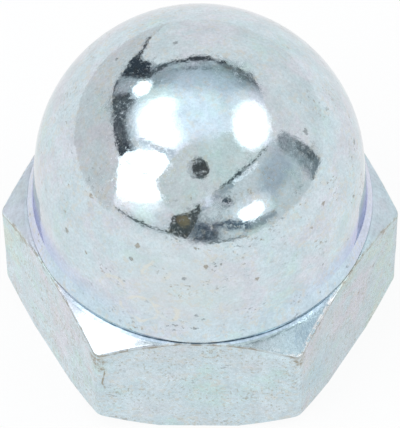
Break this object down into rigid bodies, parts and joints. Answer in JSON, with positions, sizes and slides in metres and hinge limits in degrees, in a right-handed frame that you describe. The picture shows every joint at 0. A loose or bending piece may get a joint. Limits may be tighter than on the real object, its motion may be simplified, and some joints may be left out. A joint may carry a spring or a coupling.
{
  "type": "cap nut",
  "caption": "Domed hexagon nut that screws onto an M10 thread and covers its end: chamfered hexagon below, low collar, closed round dome, blind tapped hole.",
  "frame": {"origin": "centre of the flat bearing face underneath, where the threaded hole opens", "axes": "+Z along the thread's axis, from the bearing face to the top of the dome; one flat of the hexagon faces -Y and two of its corners lie on +X and -X"},
  "size_m": [0.0194, 0.017, 0.0178],
  "materials": {
    "zinc_plate": "bright blue-white zinc plate on steel, mirror-bright on the dome and satin on the flats, with small dark specks and faint brown stains"
  },
  "bodies": {
    "root": {"cap_nut": "zinc_plate"}
  },
  "joints": []
}
